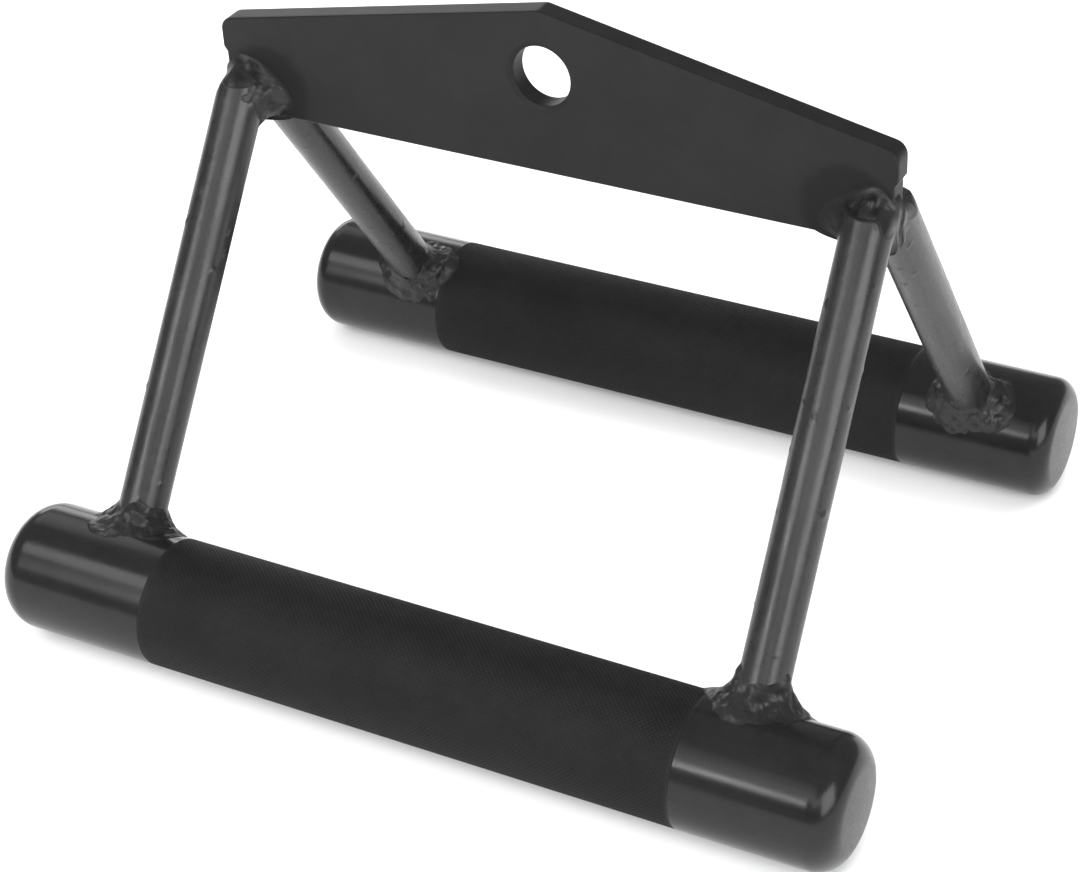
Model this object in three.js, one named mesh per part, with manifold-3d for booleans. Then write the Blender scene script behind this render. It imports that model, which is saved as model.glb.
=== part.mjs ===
// Row handle: two parallel round bar grips hung from a drilled plate by four welded rods.
// Millimetres, +Z up. The grips rest on z = 0, +X runs along them and -Y is the front.

import * as THREE from 'three';
import { mergeVertices } from 'three/addons/utils/BufferGeometryUtils.js';
import Module from 'manifold-3d';

const wasm = await Module();
wasm.setup();

// Driving dimensions

const seamGap = 0.3;

const grip = {
  diameter: 32,
  length: 224,
  spacing: 154.3,
  stagger: 5,
  frontEndRounding: 7.5,
  rearEndRounding: 5.5,
};

const plate = {
  length: 176.4,
  thickness: 6,
  bottomHeight: 112.7,
  endHeight: 23.5,
  peakHeight: 41.4,
  cornerRadius: 3.4,
  lowerCornerRadius: 1.2,
  peakRadius: 3,
  edgeBreak: 0.5,
  holeDiameter: 15,
  holeDrop: 16.5,
  countersinkDepth: 0.5,
  countersinkReach: 1.2,
  endUndercut: 0.9,
  undercutTop: 16.2,
  undercutRun: 1.4,
};

const strut = {
  diameter: 12,
  footInset: 28.2,
  headInset: 5.7,
  headRise: 9.7,
  tipRise: 9.6,
};

// Where the arc has melted the rod's outer corner to a slope: the turn round the rod that the
// slope faces, how far below the head it starts as a share of the radius, and how steep it is
const strutMeltShares = {
  turn: 0.55,
  start: 1.15,
  steepness: 0.45,
};

const gripWeld = {
  strutLeg: 6,
  alongLeg: 6.6,
  aroundLeg: 5,
  toeThickness: 0.4,
  lumpHeight: 0.5,
  legShare: 0.2,
  concavityShare: 0.62,
};

const plateWeld = {
  toeThickness: 0.5,
  lumpHeight: 0.3,
  legShare: 0.05,
  heartDropShare: 0.6,
};

// Waves round a bead's seam: how many to a turn, how much each counts, and how far each is
// shifted from one bead to the next
const beadWaves = [
  { turns: 3, share: 0.6, shift: 2.3 },
  { turns: 5, share: 0.4, shift: 4.1 },
];
const beadRipple = { turns: 8, shift: 1.7 };

// How finely the round forms are cut

const gripSegments = 64;
const strutSegments = 40;
const roundingSteps = 6;
const cornerSteps = 5;
const holeSegments = 48;
const weldSegments = 40;
const weldFaceSteps = 5;

// Sizes that follow

const gripRadius = grip.diameter / 2;
const strutRadius = strut.diameter / 2;
const plateFace = plate.thickness / 2;
const hangerShift = grip.stagger / 2;
const gripAxisY = -grip.spacing / 2;
const strutOverrun = grip.diameter;
const cutOverrun = plate.thickness;

// Solids and meshes

function toSolid(geometry) {
  const bare = new THREE.BufferGeometry();
  bare.setAttribute('position', geometry.getAttribute('position').clone());
  bare.setIndex(geometry.index);
  const merged = mergeVertices(bare);
  return new wasm.Manifold(new wasm.Mesh({
    numProp: 3,
    vertProperties: new Float32Array(merged.getAttribute('position').array),
    triVerts: new Uint32Array(merged.index.array),
  }));
}

function largestBody(solid) {
  const bodies = solid.decompose();
  return bodies.reduce((best, body) => (body.volume() > best.volume() ? body : best));
}

function toGeometry(solid) {
  const { vertProperties, triVerts } = solid.getMesh();
  const geometry = new THREE.BufferGeometry();
  geometry.setAttribute('position', new THREE.BufferAttribute(vertProperties, 3));
  geometry.setIndex(new THREE.BufferAttribute(triVerts, 1));
  geometry.computeVertexNormals();
  return geometry;
}

function paintedSteel(color, roughness) {
  return new THREE.MeshStandardMaterial({ color, roughness, metalness: 0.3 });
}

const finishes = {
  plate: () => paintedSteel(0x2a2a2b, 0.62),
  strut: () => paintedSteel(0x2f2f30, 0.36),
  grip: () => paintedSteel(0x252526, 0.45),
  weld: () => paintedSteel(0x2c2c2d, 0.4),
};

// A mesh that keeps its place but takes the given point as its own origin
function namedMesh(name, geometry, finish, origin = new THREE.Vector3()) {
  geometry.translate(-origin.x, -origin.y, -origin.z);
  const mesh = new THREE.Mesh(geometry, finishes[finish]());
  mesh.name = name;
  mesh.position.copy(origin);
  return mesh;
}

// Hanger plate: outline in X and Z, pressed out along Y, then drilled and chamfered

function roundedOutline(corners) {
  const shape = new THREE.Shape();
  corners.forEach(({ at, radius }, index) => {
    const before = corners[(index + corners.length - 1) % corners.length].at;
    const after = corners[(index + 1) % corners.length].at;
    const inward = before.clone().sub(at).normalize();
    const outward = after.clone().sub(at).normalize();
    const halfAngle = Math.acos(inward.dot(outward)) / 2;
    const setback = radius / Math.tan(halfAngle);
    const bisector = inward.clone().add(outward).normalize();
    const centre = at.clone().addScaledVector(bisector, radius / Math.sin(halfAngle));
    const start = at.clone().addScaledVector(inward, setback).sub(centre).angle();
    const sweep = Math.PI - 2 * halfAngle;
    const turn = Math.sign(outward.cross(inward));
    for (let step = 0; step <= cornerSteps; step += 1) {
      const angle = start + (turn * sweep * step) / cornerSteps;
      const x = centre.x + radius * Math.cos(angle);
      const z = centre.y + radius * Math.sin(angle);
      if (index === 0 && step === 0) {
        shape.moveTo(x, z);
      } else {
        shape.lineTo(x, z);
      }
    }
  });
  shape.closePath();
  return shape;
}

function plateOutline() {
  const half = plate.length / 2;
  const waist = half - plate.endUndercut;
  const biteTop = plate.undercutTop;
  const biteLow = plate.undercutTop - plate.undercutRun;
  const point = (x, z, radius) => ({ at: new THREE.Vector2(x, z), radius });
  return roundedOutline([
    point(-waist, 0, plate.lowerCornerRadius),
    point(waist, 0, plate.lowerCornerRadius),
    point(waist, biteLow, plate.endUndercut),
    point(half, biteTop, plate.endUndercut),
    point(half, plate.endHeight, plate.cornerRadius),
    point(0, plate.peakHeight, plate.peakRadius),
    point(-half, plate.endHeight, plate.cornerRadius),
    point(-half, biteTop, plate.endUndercut),
    point(-waist, biteLow, plate.endUndercut),
  ]);
}

function holeCutter() {
  const radius = plate.holeDiameter / 2;
  const sinkStart = plateFace - plate.countersinkDepth;
  const end = plateFace + cutOverrun;
  const spread = plate.countersinkReach / plate.countersinkDepth;
  const flare = radius + (end - sinkStart) * spread;
  const profile = [
    new THREE.Vector2(0, -end),
    new THREE.Vector2(flare, -end),
    new THREE.Vector2(radius, -sinkStart),
    new THREE.Vector2(radius, sinkStart),
    new THREE.Vector2(flare, end),
    new THREE.Vector2(0, end),
  ];
  return toSolid(new THREE.LatheGeometry(profile, holeSegments));
}

function hangerPlate() {
  const pressed = new THREE.ExtrudeGeometry(plateOutline(), {
    depth: plate.thickness - 2 * plate.edgeBreak,
    bevelEnabled: true,
    bevelSize: plate.edgeBreak,
    bevelThickness: plate.edgeBreak,
    bevelOffset: -plate.edgeBreak,
    bevelSegments: 1,
  });
  pressed.translate(0, 0, plate.edgeBreak - plateFace);
  pressed.rotateX(Math.PI / 2);
  const hole = holeCutter().translate([0, 0, plate.peakHeight - plate.holeDrop]);
  const mesh = namedMesh('hanger_plate', toGeometry(toSolid(pressed).subtract(hole)), 'plate');
  mesh.position.set(hangerShift, 0, plate.bottomHeight);
  return mesh;
}

// Grips: round bar with domed end edges, turned about its own axis

function gripBar(name, endRounding) {
  const half = grip.length / 2;
  const rounded = (end) => Array.from({ length: roundingSteps + 1 }, (_, step) => {
    const angle = (Math.PI / 2) * (step / roundingSteps);
    const drop = endRounding * (1 - Math.sin(angle));
    const inset = endRounding * (1 - Math.cos(angle));
    return new THREE.Vector2(gripRadius - drop, end * (half - inset));
  });
  const profile = [
    new THREE.Vector2(0, -half),
    ...rounded(-1),
    ...rounded(1).reverse(),
    new THREE.Vector2(0, half),
  ];
  const geometry = new THREE.LatheGeometry(profile, gripSegments);
  geometry.rotateZ(-Math.PI / 2);
  return namedMesh(name, geometry, 'grip');
}

// Struts: each runs from a grip's axis to the plate's face, in the frame of its own half

function strutLine(side, facing) {
  const centre = facing * hangerShift;
  const footAcross = grip.length / 2 - strut.footInset;
  const headAcross = plate.length / 2 - strut.headInset;
  const foot = new THREE.Vector3(centre + side * footAcross, gripAxisY, gripRadius);
  const head = new THREE.Vector3(
    centre + side * headAcross,
    -plateFace,
    plate.bottomHeight + strut.headRise,
  );
  const axis = head.clone().sub(foot).normalize();
  const inner = new THREE.Vector3(side, 0, 0).cross(axis).multiplyScalar(-side).normalize();
  const across = inner.clone().cross(axis).multiplyScalar(-side).normalize();
  return { side, foot, head, axis, inner, across };
}

// A point on the strut's round, by angle: 0 faces the plate's middle, a quarter turn the crotch
function strutPoint(line, radius, angle, distance) {
  return line.head.clone()
    .addScaledVector(line.across, radius * Math.cos(angle))
    .addScaledVector(line.inner, radius * Math.sin(angle))
    .addScaledVector(line.axis, distance);
}

function rodSolid(line, radius) {
  const span = line.foot.distanceTo(line.head) + 2 * strutOverrun;
  const rod = new THREE.CylinderGeometry(radius, radius, span, strutSegments);
  const turn = new THREE.Quaternion().setFromUnitVectors(new THREE.Vector3(0, 1, 0), line.axis);
  const middle = line.foot.clone().add(line.head).multiplyScalar(1 / 2);
  rod.applyQuaternion(turn);
  rod.translate(middle.x, middle.y, middle.z);
  return toSolid(rod);
}

// The plane that the melted corner of the rod's head lies in
function meltPlane(line) {
  const angle = 2 * Math.PI * strutMeltShares.turn;
  const down = -strutMeltShares.start * strutRadius;
  const start = strutPoint(line, strutRadius, angle, down);
  const normal = start.clone().sub(strutPoint(line, 0, angle, down)).normalize()
    .addScaledVector(line.axis, strutMeltShares.steepness).normalize();
  return { normal, offset: normal.dot(start) };
}

// The rod as it stands between grip and plate, or a larger copy that clears it all round
function trimmedRod(line, clearance) {
  const tip = plate.bottomHeight + strut.tipRise + clearance;
  const face = -plateFace - seamGap + clearance;
  const melt = meltPlane(line);
  return rodSolid(line, strutRadius + clearance)
    .trimByPlane([0, -1, 0], -face)
    .trimByPlane([0, 0, -1], -tip)
    .trimByPlane(melt.normal.clone().negate().toArray(), -melt.offset - clearance);
}

function gripSolid(radius) {
  const bar = new THREE.CylinderGeometry(radius, radius, grip.length, gripSegments);
  bar.rotateZ(Math.PI / 2);
  bar.translate(hangerShift, gripAxisY, gripRadius);
  return toSolid(bar);
}

function strutRod(name, line) {
  const coped = trimmedRod(line, 0).subtract(gripSolid(gripRadius + seamGap));
  return namedMesh(name, toGeometry(largestBody(coped)), 'strut', line.foot);
}

// Welds: lumpy collars lofted through rings, then cut back to clear the pieces they join

// Slow unevenness of the bead round its seam, and the finer ripple of its solidified pools
function waver(angle, seed) {
  return beadWaves.reduce(
    (sum, { turns, share, shift }) => sum + share * Math.sin(turns * angle + shift * seed),
    0,
  );
}

function ripple(angle, seed) {
  return Math.cos(beadRipple.turns * angle + beadRipple.shift * seed);
}

function ringAngles() {
  return Array.from({ length: weldSegments }, (_, index) => (2 * Math.PI * index) / weldSegments);
}

function centreOf(ring) {
  const sum = ring.reduce((total, point) => total.add(point), new THREE.Vector3());
  return sum.divideScalar(ring.length);
}

// The turn is 1 where the rings run clockwise as seen from the first one, and -1 otherwise
function loftSolid(ringsRound, turn) {
  const rings = turn > 0 ? ringsRound : ringsRound.map((ring) => [...ring].reverse());
  const points = [centreOf(rings[0]), ...rings.flat(), centreOf(rings[rings.length - 1])];
  const last = points.length - 1;
  const faces = [];
  for (let ring = 0; ring < rings.length - 1; ring += 1) {
    for (let index = 0; index < weldSegments; index += 1) {
      const next = (index + 1) % weldSegments;
      const a = 1 + ring * weldSegments + index;
      const b = 1 + ring * weldSegments + next;
      faces.push(a, b, a + weldSegments, b, b + weldSegments, a + weldSegments);
    }
  }
  const lastRing = 1 + (rings.length - 1) * weldSegments;
  for (let index = 0; index < weldSegments; index += 1) {
    const next = (index + 1) % weldSegments;
    faces.push(0, 1 + next, 1 + index);
    faces.push(last, lastRing + index, lastRing + next);
  }
  const geometry = new THREE.BufferGeometry().setFromPoints(points);
  geometry.setIndex(faces);
  return toSolid(geometry);
}

// Rings of a face that swings from one toe ring to the other, pulled towards a middle ring
function faceRings(fromRing, pullRing, toRing, lumpHeight, seed) {
  const centre = centreOf([...fromRing, ...toRing]);
  const outward = fromRing.map((from, index) => from.clone().add(toRing[index])
    .addScaledVector(centre, -2).normalize());
  return Array.from({ length: weldFaceSteps + 1 }, (_, step) => {
    const share = step / weldFaceSteps;
    return fromRing.map((from, index) => {
      const curve = new THREE.QuadraticBezierCurve3(from, pullRing[index], toRing[index]);
      const angle = (2 * Math.PI * index) / weldSegments;
      const unevenness = (waver(angle + share, seed) + ripple(angle + share, seed)) / 2;
      const swell = Math.sin(Math.PI * share) * unevenness * lumpHeight;
      return curve.getPoint(share).addScaledVector(outward[index], swell);
    });
  });
}

function gripRoot(line, angle) {
  const start = strutPoint(line, strutRadius + seamGap, angle, 0);
  const y = start.y - gripAxisY;
  const z = start.z - gripRadius;
  const a = line.axis.y ** 2 + line.axis.z ** 2;
  const b = 2 * (y * line.axis.y + z * line.axis.z);
  const c = y ** 2 + z ** 2 - (gripRadius + seamGap) ** 2;
  return (-b + Math.sqrt(b ** 2 - 4 * a * c)) / (2 * a);
}

function onGrip(x, bearing, radius) {
  return new THREE.Vector3(
    x,
    gripAxisY + radius * Math.sin(bearing),
    gripRadius + radius * Math.cos(bearing),
  );
}

function gripWeldSolid(line, seed) {
  const surface = gripRadius + seamGap;
  const lean = Math.atan2(line.axis.y, line.axis.z);
  const strutRing = [];
  const coreRing = [];
  const rootRing = [];
  const toeRing = [];
  const sunkRing = [];
  ringAngles().forEach((angle) => {
    const uneven = gripWeld.legShare * waver(angle, seed);
    const root = gripRoot(line, angle);
    const up = root + gripWeld.strutLeg * (1 + uneven);
    const rootPoint = strutPoint(line, strutRadius + seamGap, angle, root);
    const bearing = Math.atan2(rootPoint.y - gripAxisY, rootPoint.z - gripRadius);
    const flat = new THREE.Vector2(rootPoint.x - line.foot.x, (bearing - lean) * surface);
    const way = flat.clone().normalize();
    const leg = gripWeld.alongLeg * way.x ** 2 + gripWeld.aroundLeg * way.y ** 2;
    flat.addScaledVector(way, leg * (1 - uneven));
    const toeX = line.foot.x + flat.x;
    const toeBearing = lean + flat.y / surface;
    strutRing.push(strutPoint(line, strutRadius + seamGap + gripWeld.toeThickness, angle, up));
    coreRing.push(strutPoint(line, strutRadius / 2, angle, up));
    rootRing.push(rootPoint);
    toeRing.push(onGrip(toeX, toeBearing, surface + gripWeld.toeThickness));
    sunkRing.push(onGrip(toeX, toeBearing, surface / 2));
  });
  const pullRing = rootRing.map((root, index) => strutRing[index].clone()
    .add(toeRing[index]).multiplyScalar(1 / 2).lerp(root, gripWeld.concavityShare));
  const face = faceRings(strutRing, pullRing, toeRing, gripWeld.lumpHeight, seed);
  const collar = loftSolid([coreRing, ...face, sunkRing], line.side);
  return largestBody(collar
    .subtract(rodSolid(line, strutRadius + seamGap))
    .subtract(gripSolid(surface)));
}

// Eight stations round the strut's head, from the side that faces the plate's middle by way of
// the crotch. Each is a share of the strut's radius: how far in and up from the plate's bottom
// edge the toe on the plate lies, how far below the head the toe on the strut lies, and how far
// the face between them bulges, or is hollowed where that is less than 0.
const plateWeldShares = [
  { inward: 2.25, rise: 1.35, strutToe: 1.25, bulge: 0.05 },
  { inward: 2.45, rise: 0, strutToe: 1.75, bulge: -0.15 },
  { inward: 0.3, rise: -0.5, strutToe: 2.05, bulge: 0.05 },
  { inward: -0.97, rise: -0.4, strutToe: 1.5, bulge: 0.05 },
  { inward: -1.1, rise: 0.8, strutToe: 1.15, bulge: 0.1 },
  { inward: -1.02, rise: 1.93, strutToe: 0.95, bulge: 0.08 },
  { inward: -0.1, rise: 2.6, strutToe: 0.75, bulge: 0.2 },
  { inward: 1.15, rise: 2.2, strutToe: 0.85, bulge: 0.12 },
];

// The stations' value at any turn, on a smooth curve through its four nearest stations
function around(shares, key, turn) {
  const at = turn * shares.length;
  const index = Math.floor(at);
  const blend = at - index;
  const value = (offset) => shares[(index + offset + shares.length) % shares.length][key];
  const straight = value(0) + blend * (value(1) - value(0));
  const startBend = value(-1) - 2 * value(0) + value(1);
  const endBend = value(0) - 2 * value(1) + value(2);
  const bend = startBend * (1 - blend) + endBend * blend;
  return straight - (blend * (1 - blend) * bend) / 2;
}

// The plate's ends and lower edge as plain blocks, for the welds to be cut back from
function plateBlock(length, start, clearance) {
  const block = new THREE.BoxGeometry(
    length + 2 * clearance,
    plate.thickness + 2 * clearance,
    plate.peakHeight + 2 * clearance,
  );
  block.translate(0, 0, plate.bottomHeight + start + plate.peakHeight / 2);
  return toSolid(block);
}

function plateEnds(clearance) {
  const waist = plateBlock(plate.length - 2 * plate.endUndercut, 0, clearance);
  return waist.add(plateBlock(plate.length, plate.undercutTop - plate.undercutRun, clearance));
}

function plateWeldSolid(line, facing, seed) {
  const heart = line.head.clone();
  heart.y = plateFace;
  heart.z -= plateWeld.heartDropShare * strutRadius;
  const coreRing = [];
  const strutRing = [];
  const pullRing = [];
  const toeRing = [];
  const sunkRing = [];
  ringAngles().forEach((angle) => {
    const turn = angle / (2 * Math.PI);
    const uneven = 1 + plateWeld.legShare * waver(angle, seed);
    const size = (key) => around(plateWeldShares, key, turn) * strutRadius;
    const down = -size('strutToe') * uneven;
    const x = line.head.x - line.side * size('inward') * uneven;
    const z = plate.bottomHeight + size('rise');
    const from = strutPoint(line, strutRadius + seamGap + plateWeld.toeThickness, angle, down);
    const to = new THREE.Vector3(x, -plateFace - seamGap - plateWeld.toeThickness, z);
    const middle = from.clone().add(to).multiplyScalar(1 / 2);
    const out = middle.clone().sub(heart).normalize();
    strutRing.push(from);
    coreRing.push(strutPoint(line, strutRadius / 2, angle, down));
    pullRing.push(middle.addScaledVector(out, size('bulge')));
    toeRing.push(to);
    sunkRing.push(new THREE.Vector3(x, seamGap, z));
  });
  const face = faceRings(strutRing, pullRing, toeRing, plateWeld.lumpHeight, seed);
  return largestBody(loftSolid([coreRing, ...face, sunkRing], -line.side)
    .subtract(trimmedRod(line, seamGap))
    .subtract(plateEnds(seamGap).translate([facing * hangerShift, 0, 0]))
    .trimByPlane([0, -1, 0], seamGap / 2));
}

// Assembly: each half is built facing front, and the rear half is turned about the upright

function half(name, facing, endRounding) {
  const group = new THREE.Group();
  const bar = gripBar(`grip_${name}`, endRounding);
  bar.position.set(hangerShift, gripAxisY, gripRadius);
  group.add(bar);
  [-1, 1].forEach((side) => {
    const hand = side * facing < 0 ? 'left' : 'right';
    const line = strutLine(side, facing);
    const seed = 2 * facing + side + 4;
    const gripBead = toGeometry(gripWeldSolid(line, seed));
    const plateBead = toGeometry(plateWeldSolid(line, facing, seed));
    group.add(strutRod(`strut_${name}_${hand}`, line));
    group.add(namedMesh(`grip_weld_${name}_${hand}`, gripBead, 'weld', line.foot));
    group.add(namedMesh(`plate_weld_${name}_${hand}`, plateBead, 'weld', line.head));
  });
  return group;
}

const rowHandle = new THREE.Group();
const front = half('front', 1, grip.frontEndRounding);
const rear = half('rear', -1, grip.rearEndRounding);
rear.rotation.z = Math.PI;
rowHandle.add(hangerPlate(), front, rear);

export default rowHandle;
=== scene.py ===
"""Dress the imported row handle: knurled grips, painted rods, hanger plate and weld beads."""

import logging
import math
from collections.abc import Callable
from dataclasses import dataclass
from enum import Enum

import bpy
import numpy as np
from mathutils import Matrix


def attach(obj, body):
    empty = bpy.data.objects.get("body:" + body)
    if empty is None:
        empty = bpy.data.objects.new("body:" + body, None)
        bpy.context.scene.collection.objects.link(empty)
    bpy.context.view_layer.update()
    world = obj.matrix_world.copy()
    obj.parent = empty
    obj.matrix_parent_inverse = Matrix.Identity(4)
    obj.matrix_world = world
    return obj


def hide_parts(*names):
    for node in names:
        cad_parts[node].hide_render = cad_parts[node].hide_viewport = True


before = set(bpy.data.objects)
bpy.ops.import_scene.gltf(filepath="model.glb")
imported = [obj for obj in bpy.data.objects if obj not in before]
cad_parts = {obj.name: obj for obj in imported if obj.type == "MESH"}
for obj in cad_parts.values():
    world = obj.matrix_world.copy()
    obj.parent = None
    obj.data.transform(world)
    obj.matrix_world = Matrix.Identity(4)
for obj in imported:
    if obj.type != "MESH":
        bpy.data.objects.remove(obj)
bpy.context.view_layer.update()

BODY = "root"
MM = 0.001
FULL_TURN = 2.0 * math.pi
TINY = 1e-12

Array = np.ndarray
Values = np.ndarray | float
Triple = tuple[float, float, float]
Object = bpy.types.Object
Material = bpy.types.Material

log = logging.getLogger("row_handle")


# Sizes shared by the pieces


@dataclass(frozen=True)
class Layout:
    """Main lines of the handle in metres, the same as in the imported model."""

    grip_radius: float = 16.0 * MM
    grip_length: float = 224.0 * MM
    grip_across: float = 77.15 * MM
    hanger_shift: float = 2.5 * MM
    plate_face: float = 3.0 * MM
    plate_bottom: float = 112.7 * MM
    strut_radius: float = 6.0 * MM
    foot_across: float = 83.8 * MM
    head_across: float = 82.5 * MM
    head_rise: float = 9.7 * MM
    melt_turn: float = 0.55
    melt_steepness: float = 0.45
    bead_reach: float = 9.5 * MM
    draw_stretch: float = 0.1
    tuck: float = 0.15 * MM


LAYOUT = Layout()


class Half(Enum):
    """The two halves of the handle, each built facing front in its own frame."""

    FRONT = 1
    REAR = -1

    @property
    def label(self) -> str:
        """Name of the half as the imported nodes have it."""
        return self.name.lower()

    def place(self, points: Array) -> Array:
        """Turn points of this half's own frame about the upright into the handle's frame."""
        return points * np.array([self.value, self.value, 1.0])

    def hand(self, side: int) -> str:
        """Left or right as seen from the handle's front, for a side of this half's own frame."""
        return "left" if side * self.value < 0 else "right"


# Mesh making


def unit(vectors: Array) -> Array:
    """Vectors over their length, along the last axis."""
    return vectors / np.maximum(np.linalg.norm(vectors, axis=-1, keepdims=True), TINY)


def grid_quads(rows: int, columns: int) -> Array:
    """Corner numbers of a grid's quads, the last ring joined to the first one at the end."""
    number = np.arange(rows * columns).reshape(rows, columns)
    below = np.roll(number, -1, axis=0)
    corners = [number, np.roll(number, -1, axis=1), np.roll(below, -1, axis=1), below]
    return np.stack(corners, axis=-1).reshape(-1, 4)


def add_object(name: str, data: bpy.types.ID) -> Object:
    """Make an object of a mesh, a light or a camera and link it to the scene."""
    made = bpy.data.objects.new(name, data)
    bpy.context.scene.collection.objects.link(made)
    return made


def make_mesh(name: str, points: Array, polygons: list[Array]) -> Object:
    """Make a smooth shaded mesh object from arrays.

    Args:
        name: Name of the piece.
        points: One row of x, y and z to a point, in metres.
        polygons: Arrays of corner numbers, each of one polygon size.

    Returns:
        The new object, linked to the scene.
    """
    mesh = bpy.data.meshes.new(name)
    mesh.from_pydata(points, [], [face for faces in polygons for face in faces.tolist()])
    mesh.shade_smooth()
    return add_object(name, mesh)


def closed_tube(name: str, grid: Array, poles: Array, turn: int) -> Object:
    """Close a grid of rings with a fan to a pole at each end and make it a mesh.

    Args:
        name: Name of the piece.
        grid: Points by ring, column and coordinate.
        poles: The points that close the first and the last ring.
        turn: -1 where the faces have to be turned, else 1.

    Returns:
        The new object.
    """
    rows, columns = grid.shape[:2]
    size = rows * columns
    here = np.arange(columns)
    beside = np.roll(here, -1)
    last = size - columns
    polygons = [
        grid_quads(rows, columns)[:-columns],
        np.stack([np.full(columns, size), beside, here], axis=-1),
        np.stack([np.full(columns, size + 1), last + here, last + beside], axis=-1),
    ]
    points = np.concatenate([grid.reshape(-1, 3), poles])
    return make_mesh(name, points, [faces[:, ::turn] for faces in polygons])


def point_attribute(piece: Object, name: str, values: Array) -> None:
    """Store one number or one vector to a point of the mesh, for a finish to read."""
    kind, key = ("FLOAT_VECTOR", "vector") if values.ndim > 1 else ("FLOAT", "value")
    attribute = piece.data.attributes.new(name, kind, "POINT")
    attribute.data.foreach_set(key, np.ascontiguousarray(values, np.float32).ravel())


def flatten_faces(piece: Object, faces: Array) -> None:
    """Shade the numbered faces flat, so that they don't tilt the shading beside them."""
    smooth = np.ones(len(piece.data.polygons), bool)
    smooth[faces] = False
    piece.data.polygons.foreach_set("use_smooth", smooth)
    piece.data.update()


def smooth_step(share: Array) -> Array:
    """Ease a share from 0 to 1: three times its square less twice its cube."""
    held = np.clip(share, 0.0, 1.0)
    return held * held * (3.0 - 2.0 * held)


def lattice_noise(points: Array, size: float, seed: int) -> Array:
    """Smooth noise from -1 to 1: random values at lattice points, eased between them.

    Args:
        points: Points by any number of axes and a last axis of x, y and z.
        size: Spacing of the lattice in metres.
        seed: Picks the table of random values.

    Returns:
        One value to a point.
    """
    table = np.random.default_rng(seed).uniform(-1.0, 1.0, 4096)
    scaled = points / size
    cell = np.floor(scaled).astype(np.int64)
    ease = smooth_step(scaled - cell)
    total = np.zeros(points.shape[:-1])
    for corner in np.ndindex(2, 2, 2):
        at = cell + np.array(corner)
        key = (at[..., 0] * 73856093) ^ (at[..., 1] * 19349663) ^ (at[..., 2] * 83492791)
        weight = np.prod(np.where(np.array(corner) == 1, ease, 1.0 - ease), axis=-1)
        total += weight * table[key % len(table)]
    return total


def grid_normals(grid: Array) -> Array:
    """Unit normals of a grid of rings: the cross product of its steps round and along."""
    padded = np.concatenate([grid[:, -1:], grid, grid[:, :1]], axis=1)
    return unit(np.cross(padded[:, 2:] - padded[:, :-2], np.gradient(grid, axis=0)))


# Finishes


def math_method(operation: str, swapped: bool = False) -> Callable[["Sock", object], "Sock"]:
    """Make a method that joins two values in a Math node, in this order or swapped."""

    def join(this: "Sock", other: "Sock | float") -> "Sock":
        """Join this and the other value."""
        first, second = (other, this) if swapped else (this, other)
        return this.graph.node("ShaderNodeMath", {0: first, 1: second}, operation=operation)

    return join


@dataclass(frozen=True)
class Sock:
    """A shader socket that adds its own Math nodes when it is used in a sum."""

    graph: "Graph"
    socket: bpy.types.NodeSocket

    __add__ = math_method("ADD")
    __radd__ = math_method("ADD", swapped=True)
    __sub__ = math_method("SUBTRACT")
    __rsub__ = math_method("SUBTRACT", swapped=True)
    __mul__ = math_method("MULTIPLY")
    __rmul__ = math_method("MULTIPLY", swapped=True)

    def ramp(self, low: float, high: float) -> "Sock":
        """Smooth rise from 0 at the low value to 1 at the high one."""
        inputs = {"Value": self, "From Min": low, "From Max": high}
        return self.graph.node("ShaderNodeMapRange", inputs, interpolation_type="SMOOTHSTEP")


class Graph:
    """The node tree of one finish."""

    def __init__(self, name: str) -> None:
        """Start an empty material of that name."""
        self.material = bpy.data.materials.new(name)
        self.material.use_nodes = True
        self.tree = self.material.node_tree
        self.tree.nodes.clear()
        self.place = self.node("ShaderNodeTexCoord", {}, "Object")

    def node(self, kind: str, inputs: dict[int | str, object], output: int | str = 0,
             **settings: str) -> Sock:
        """Add one node.

        Args:
            kind: Blender's name of the node type.
            inputs: Values or links by the socket's name or number.
            output: Which output to hand back.
            settings: Properties of the node, which are set first.

        Returns:
            The chosen output.
        """
        made = self.tree.nodes.new(kind)
        for key, value in settings.items():
            setattr(made, key, value)
        for key, value in inputs.items():
            if isinstance(value, Sock):
                self.tree.links.new(value.socket, made.inputs[key])
            else:
                made.inputs[key].default_value = value
        return Sock(self, made.outputs[output])

    def noise(self, size: float, detail: float, rough: float, place: Sock | None = None) -> Sock:
        """Noise of a feature size in metres, over the piece's own coordinates."""
        inputs = {"Vector": place or self.place, "Scale": 1.0 / size, "Detail": detail,
                  "Roughness": rough}
        return self.node("ShaderNodeTexNoise", inputs)

    def attribute(self, name: str, output: str = "Fac") -> Sock:
        """A number, or with the output Vector a vector, that the mesh holds to a point."""
        return self.node("ShaderNodeAttribute", {}, output, attribute_name=name)

    def blend(self, share: Sock, low: Triple | Sock, high: Triple) -> Sock:
        """Colour that runs from the low one to the high one as the share goes from 0 to 1."""
        start = low if isinstance(low, Sock) else (*low, 1.0)
        inputs = {0: share, 6: start, 7: (*high, 1.0)}
        return self.node("ShaderNodeMix", inputs, 2, data_type="RGBA")

    def bump(self, height: Sock, distance: float, below: Sock | None = None) -> Sock:
        """Bump of a height pattern whose full step is the distance in metres."""
        inputs = {"Height": height, "Distance": distance, "Strength": 1.0}
        if below is not None:
            inputs["Normal"] = below
        return self.node("ShaderNodeBump", inputs)

    def surface(self, inputs: dict[str, object]) -> Material:
        """End the graph in a Principled shader with these sockets."""
        shader = self.node("ShaderNodeBsdfPrincipled", inputs)
        output = self.tree.nodes.new("ShaderNodeOutputMaterial")
        self.tree.links.new(shader.socket, output.inputs["Surface"])
        return self.material


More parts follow.
